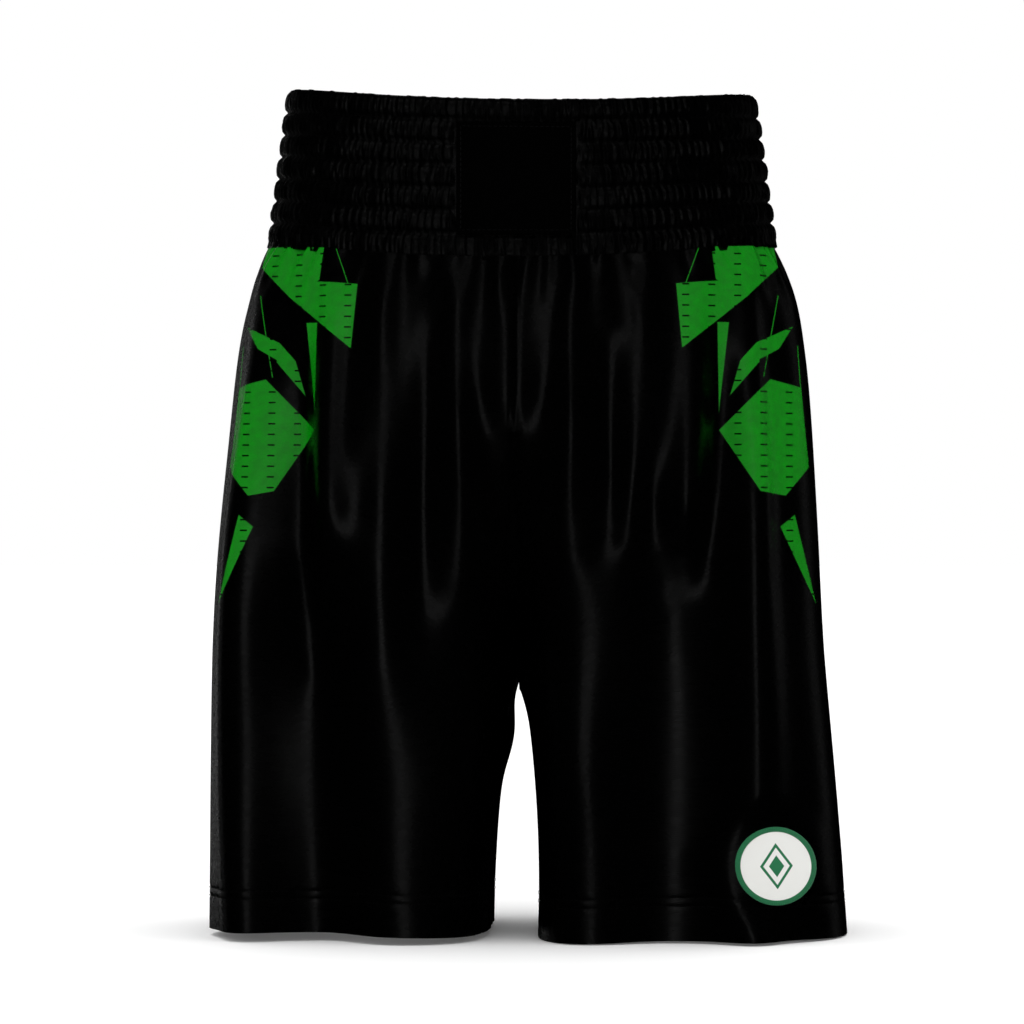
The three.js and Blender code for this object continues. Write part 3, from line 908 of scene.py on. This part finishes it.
def makeInterfacing(material):
    low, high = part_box("label_panel_interfacing")
    piece, u, v = addGrid("labelPanelInterfacing", 24, 22)
    x, _, z = labelPoint(mix(low.x, high.x, u), mix(low.z, high.z, v), 0)
    y = low.y + label["bend"] * (x / labelHigh.x) ** 2 + 0.0001
    placePoints(piece, x, y, z)
    turnOutwards(piece)
    applyModifier(piece, "SOLIDIFY", thickness=0.0006, offset=-1)
    finishPiece(piece, material, ["label_panel_interfacing"])
    return piece


def makeCareLabel(material):
    low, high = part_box("care_label")
    piece, u, v = addGrid("careLabel", 16, 26)
    x = mix(low.x, high.x, u)
    z = mix(low.z, high.z, v)
    down = 1 - v
    curl = 0.0018 * down ** 2 * (0.4 + np.cos((u - 0.5) * 2.4))
    y = (low.y + high.y) / 2 - curl + 0.0004 * np.sin(down * 7)
    placePoints(piece, x, y, z)
    turnOutwards(piece, 0.0, -1)
    applyModifier(piece, "SOLIDIFY", thickness=0.0004, offset=-1)
    finishPiece(piece, material, ["care_label"])
    return piece


badge = {"radius": 0.026, "rim": 0.0034, "height": 0.0500, "across": 0.169, "lift": 0.0009, "rimLift": 0.0013,
         "field": (0.78, 0.78, 0.75), "green": (0.008, 0.165, 0.060), "threads": 132}
badgeAcross = np.linspace(0, 1, 400)
badgeSpread = clothPoint("front", 1, badgeAcross, np.full(400, badge["height"]))[0]


def badgePoint(sideways, upwards, lift):
    across = np.interp(badge["across"] + sideways, badgeSpread, badgeAcross)
    return foldedPoint("front", 1, across, badge["height"] + upwards, lift)


def addWheel(name, columns, path):  # a closed section carried round the badge's middle
    piece, u, v = addGrid(name, columns, len(path))
    angle = np.mod(np.rint(u * columns), columns) / columns * 2 * math.pi
    step = np.rint(v * len(path)).astype(int) % len(path)
    out, lift = np.array(path)[step].T
    return piece, angle, out, lift


def makeBadge(material):
    inner = badge["radius"] - badge["rim"] / 2
    outs = np.linspace(0, inner, 26)
    path = [(out, badge["lift"]) for out in outs] + [(out, 0.0003) for out in outs[::-5]]
    piece, angle, out, lift = addWheel("badgePatch", 96, path)
    sideways, upwards = out * np.cos(angle), out * np.sin(angle)
    placePoints(piece, *badgePoint(sideways, upwards, lift))
    setUv(piece, "emblem", sideways, upwards)
    closeRing(piece)
    finishPiece(piece, material, ["badge_patch"])
    return piece


def makeBadgeRim(material):
    middle, half = badge["radius"] - badge["rim"] / 2, badge["rim"] / 2
    rounds = np.linspace(0, 2 * math.pi, 12, endpoint=False)
    path = [(middle + half * math.cos(t), badge["rimLift"] / 2 * (1 + math.sin(t)) + 0.0002) for t in rounds]
    columns = badge["threads"] * 5
    piece, angle, out, lift = addWheel("badgeRim", columns, path)
    slanted = angle * badge["threads"] + (out - middle) / half * 1.6
    ridged = lift + 0.00013 * np.cos(slanted) * (lift > badge["rimLift"] * 0.3)
    placePoints(piece, *badgePoint(out * np.cos(angle), out * np.sin(angle), ridged))
    closeRing(piece)
    finishPiece(piece, material)
    return piece


# The lozenge on the badge: its half sizes, where its line lies and how wide, and the solid middle; then the
# thread spacing and the painted shade colour in the grooves between threads.
emblem = {"wide": 0.0105, "tall": 0.0150, "line": 0.92, "lineHalf": 0.10, "middle": 0.48, "thread": 0.0007,
          "grooveShadeColor": (0.50, 0.50, 0.48)}


def makeEmblem(name):
    material = newMaterial(name, badge["field"], 0.62, 0.3, 0.1)
    wiring = Wiring(material)
    place = wiring.uv("emblem")
    side = wiring.math("ABSOLUTE", wiring.dot(place, (1, 0, 0)))
    height = wiring.math("ABSOLUTE", wiring.dot(place, (0, 1, 0)))
    wideShare = wiring.math("DIVIDE", side, emblem["wide"])
    tallShare = wiring.math("DIVIDE", height, emblem["tall"])
    lozenge = wiring.math("ADD", wideShare, tallShare)
    fromLine = wiring.math("ABSOLUTE", wiring.math("SUBTRACT", lozenge, emblem["line"]))
    outlineShare = wiring.math("LESS_THAN", fromLine, emblem["lineHalf"])
    centreShare = wiring.math("LESS_THAN", lozenge, emblem["middle"])
    slanted = wiring.math("MULTIPLY", wiring.dot(place, (1.0, 0.35, 0)), 2 * math.pi / emblem["thread"])
    threads = wiring.math("SINE", slanted)
    # Painted shade: the field is painted a little darker along the thread bump's low lines, the grooves
    # between threads.
    shade = wiring.range(threads, -1.0, 1.0, 0.86, 1.0)
    field = wiring.blendColor(shade, emblem["grooveShadeColor"], badge["field"])
    mark = wiring.math("MAXIMUM", outlineShare, centreShare)
    wiring.put(wiring.shader.inputs["Base Color"], wiring.blendColor(mark, field, badge["green"]))
    wiring.put(wiring.shader.inputs["Normal"], wiring.bump(threads, 0.00012, 0.6))
    return material


sewing = {"length": 0.0027, "apart": 0.0034, "wide": 0.00050, "tall": 0.00036}


def sewLine(name, points):  # stitches along a closed line
    curve = bpy.data.curves.new(name + "Path", "CURVE")
    curve.dimensions = "3D"
    curve.twist_mode = "Z_UP"
    spline = curve.splines.new("POLY")
    spline.points.add(len(points) - 1)
    spline.points.foreach_set("co", np.hstack([points, np.ones((len(points), 1))]).astype(np.float32).ravel())
    spline.use_cyclic_u = True
    path = bpy.data.objects.new(name + "Path", curve)
    bpy.context.collection.objects.link(path)
    bpy.ops.object.select_all(action="DESELECT")
    bpy.ops.mesh.primitive_uv_sphere_add(segments=6, ring_count=4, radius=0.5)
    stitch = bpy.context.object
    stitch.name = stitch.data.name = name
    turned = (sewing["length"], sewing["wide"], sewing["tall"])
    bpy.ops.object.mode_set(mode="EDIT")
    bpy.ops.mesh.select_all(action="SELECT")
    bpy.ops.transform.resize(value=turned)
    bpy.ops.transform.translate(value=(sewing["apart"] / 2, 0, 0))
    bpy.ops.object.mode_set(mode="OBJECT")
    applyModifier(stitch, "ARRAY", fit_type="FIT_CURVE", curve=path, use_relative_offset=False,
                  use_constant_offset=True, constant_offset_displace=(sewing["apart"], 0, 0))
    applyModifier(stitch, "CURVE", object=path, deform_axis="POS_X")
    bpy.data.objects.remove(path)
    return stitch


def joinLines(name, lines, material):
    bpy.ops.object.select_all(action="DESELECT")
    for line in lines:
        line.select_set(True)
    bpy.context.view_layer.objects.active = lines[0]
    if len(lines) > 1:
        bpy.ops.object.join()
    piece = lines[0]
    piece.name = piece.data.name = name
    finishPiece(piece, material)
    return piece


def sewHem(side, material):
    lines = []
    name = "left" if side > 0 else "right"
    for height in panelMesh["stitchHeights"]:
        out = np.linspace(0.004, 0.996, 260)
        front = np.stack(foldedPoint("front", side, out, np.full(260, height), 0.0001), 1)
        back = np.stack(foldedPoint("back", side, out[::-1], np.full(260, height), 0.0001), 1)
        lines.append(sewLine(f"{name}HemLine", np.vstack([front, back])))
    return joinLines(f"{name}HemStitches", lines, material)


def sewBand(material):
    turns, _ = bandTurns(500)
    lines = []
    for row in range(1, pattern["rowCount"]):
        down = np.full(500, row / pattern["rowCount"])
        lines.append(sewLine("bandLine", np.stack(bandPoint(turns[:500], down, 0.0009), 1)))
    return joinLines("bandStitches", lines, material)


def sewLabel(material):
    inside = label["stitchInside"]
    corners = [(labelLow.x, labelLow.z, 1, 1), (labelHigh.x, labelLow.z, -1, 1),
               (labelHigh.x, labelHigh.z, -1, -1), (labelLow.x, labelHigh.z, 1, -1)]
    corners = np.array([(x + dx * inside, z + dz * inside) for x, z, dx, dz in corners])
    shares = np.linspace(0, 1, 20, endpoint=False)
    sides = [mix(corners[i], corners[(i + 1) % 4], t) for i in range(4) for t in shares]
    x, z = np.array(sides).T
    line = sewLine("labelLine", np.stack(labelPoint(x, z, -0.0001), 1))
    return joinLines("labelPanelStitches", [line], material)


labelCloth = makeWoven("labelCloth", label["color"], 0.9, 0.0008, 0.0, 0.10)
stiffener = makeWoven("stiffener", (0.52, 0.51, 0.47), 0.9, 0.0010)
careCloth = makeWoven("careCloth", (0.72, 0.72, 0.70), 0.6, 0.0006)
rimThread = makeWoven("rimThread", badge["green"], 0.55, 0.0005, 0.1)
thread = makeWoven("thread", (0.0050, 0.0050, 0.0054), 0.45, 0.0004)
labelPanel = makeLabelPanel(labelCloth)
interfacing = makeInterfacing(stiffener)
careLabel = makeCareLabel(careCloth)
badgePatch = makeBadge(makeEmblem("emblemCloth"))
badgeRim = makeBadgeRim(rimThread)
leftHem, rightHem = sewHem(1, thread), sewHem(-1, thread)
bandStitches = sewBand(thread)
labelStitches = sewLabel(thread)
print("labels, badge and stitches made")

# Flat sizes of the cut pieces, in metres. A panel's width is its arc at the hem with ease and a seam added.
cutSizes = {"bandOuter": (1.05, 0.118), "bandFacing": (1.05, 0.110), "label": (0.078, 0.0715),
            "interfacing": (0.072, 0.0655), "careLabel": (0.030, 0.046), "badge": (0.052, 0.052),
            "panelEase": 1.06, "panelSeam": 0.010}
for face in ("front", "back"):
    for side in (1, -1):
        legWidth = measureArc(face, 0.0)[1][-1] * cutSizes["panelEase"]
        flat = (round(legWidth + cutSizes["panelSeam"], 3), round(bandSeam + panelMesh["hemTurn"], 3))
        declareCloth(panels[face, side], flat, None)
declareCloth(outer, cutSizes["bandOuter"], None)
declareCloth(facing, cutSizes["bandFacing"])
declareCloth(labelPanel, cutSizes["label"], None)
declareCloth(interfacing, cutSizes["interfacing"])
declareCloth(careLabel, cutSizes["careLabel"])
badgeArea = math.pi * badge["radius"] ** 2
declareCloth(badgePatch, cutSizes["badge"], badgeArea)
